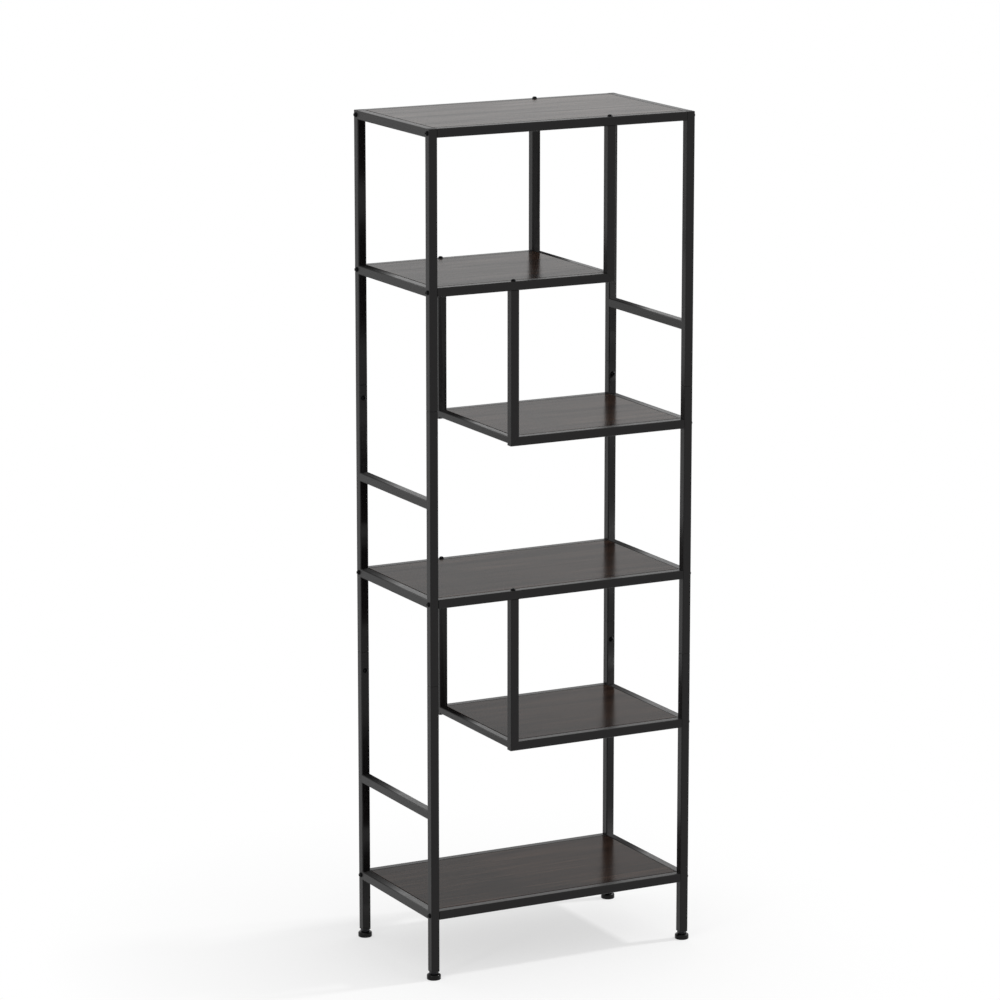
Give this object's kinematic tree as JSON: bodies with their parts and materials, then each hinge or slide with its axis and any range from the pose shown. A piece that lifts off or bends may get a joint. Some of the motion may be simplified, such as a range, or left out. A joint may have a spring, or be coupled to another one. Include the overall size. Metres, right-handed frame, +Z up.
{
  "type": "zigzag bookshelf",
  "caption": "Tall free-standing etagere of square steel tube with staggered full-width and part-width wood-grain boards, hung tubes and levelling feet.",
  "frame": {"origin": "on the floor, in the middle of the four feet", "axes": "+X along the width to the right as seen from the front, +Y along the depth to the back, +Z up"},
  "size_m": [0.631, 0.361, 1.8038],
  "materials": {
    "powder_coated_steel": "fine matt black powder coat",
    "shelf_board": "dark espresso wood-grain laminate, satin",
    "black_bolt": "black oxide, satin",
    "black_plastic": "moulded, satin",
    "black_zinc_steel": "black zinc plate, smooth",
    "zinc_steel": "bright zinc"
  },
  "bodies": {
    "shelf_frame": {"left_upper_frame": "powder_coated_steel", "left_middle_frame": "powder_coated_steel", "left_lower_frame": "powder_coated_steel", "right_upper_frame": "powder_coated_steel", "right_middle_frame": "powder_coated_steel", "right_lower_frame": "powder_coated_steel", "top_front_rail": "powder_coated_steel", "top_back_rail": "powder_coated_steel", "upper_left_front_rail": "powder_coated_steel", "upper_left_back_rail": "powder_coated_steel", "upper_right_front_rail": "powder_coated_steel", "upper_right_back_rail": "powder_coated_steel", "middle_front_rail": "powder_coated_steel", "middle_back_rail": "powder_coated_steel", "lower_right_front_rail": "powder_coated_steel", "lower_right_back_rail": "powder_coated_steel", "bottom_front_rail": "powder_coated_steel", "bottom_back_rail": "powder_coated_steel", "upper_left_hanger_frame": "powder_coated_steel", "upper_right_hanger_frame": "powder_coated_steel", "lower_right_hanger_frame": "powder_coated_steel", "top_board": "shelf_board", "upper_left_board": "shelf_board", "upper_right_board": "shelf_board", "middle_board": "shelf_board", "lower_right_board": "shelf_board", "bottom_board": "shelf_board", "rail_bolts": "black_bolt", "hanger_bolts": "black_bolt", "splice_bolts": "black_bolt", "splice_sleeves": "zinc_steel", "board_screws": "zinc_steel", "tube_end_plugs": "black_plastic", "post_plugs": "black_plastic"},
    "front_left_foot": {"front_left_foot": "black_plastic"},
    "front_left_stud": {"front_left_foot_stud": "black_zinc_steel"},
    "back_left_foot": {"back_left_foot": "black_plastic"},
    "back_left_stud": {"back_left_foot_stud": "black_zinc_steel"},
    "front_right_foot": {"front_right_foot": "black_plastic"},
    "front_right_stud": {"front_right_foot_stud": "black_zinc_steel"},
    "back_right_foot": {"back_right_foot": "black_plastic"},
    "back_right_stud": {"back_right_foot_stud": "black_zinc_steel"}
  },
  "joints": [
    {"name": "front_left_foot_travel", "type": "slide", "parent": "shelf_frame", "child": "front_left_foot", "axis": [0, 0, -1], "range_m": [0, 0.01]},
    {"name": "front_left_stud_turn", "type": "hinge", "parent": "front_left_foot", "child": "front_left_stud", "pos_m": [-0.3005, -0.1655, 0.014], "axis": [0, 0, -1], "range_deg": [0, 2880.1]},
    {"name": "back_left_foot_travel", "type": "slide", "parent": "shelf_frame", "child": "back_left_foot", "axis": [0, 0, -1], "range_m": [0, 0.01]},
    {"name": "back_left_stud_turn", "type": "hinge", "parent": "back_left_foot", "child": "back_left_stud", "pos_m": [-0.3005, 0.1655, 0.014], "axis": [0, 0, -1], "range_deg": [0, 2880.1]},
    {"name": "front_right_foot_travel", "type": "slide", "parent": "shelf_frame", "child": "front_right_foot", "axis": [0, 0, -1], "range_m": [0, 0.01]},
    {"name": "front_right_stud_turn", "type": "hinge", "parent": "front_right_foot", "child": "front_right_stud", "pos_m": [0.3005, -0.1655, 0.014], "axis": [0, 0, -1], "range_deg": [0, 2880.1]},
    {"name": "back_right_foot_travel", "type": "slide", "parent": "shelf_frame", "child": "back_right_foot", "axis": [0, 0, -1], "range_m": [0, 0.01]},
    {"name": "back_right_stud_turn", "type": "hinge", "parent": "back_right_foot", "child": "back_right_stud", "pos_m": [0.3005, 0.1655, 0.014], "axis": [0, 0, -1], "range_deg": [0, 2880.1]}
  ],
  "couplings": [
    {"joint": "front_left_stud_turn", "follows": "front_left_foot_travel", "rad_per_m": 5026.5},
    {"joint": "back_left_stud_turn", "follows": "back_left_foot_travel", "rad_per_m": 5026.5},
    {"joint": "front_right_stud_turn", "follows": "front_right_foot_travel", "rad_per_m": 5026.5},
    {"joint": "back_right_stud_turn", "follows": "back_right_foot_travel", "rad_per_m": 5026.5}
  ]
}
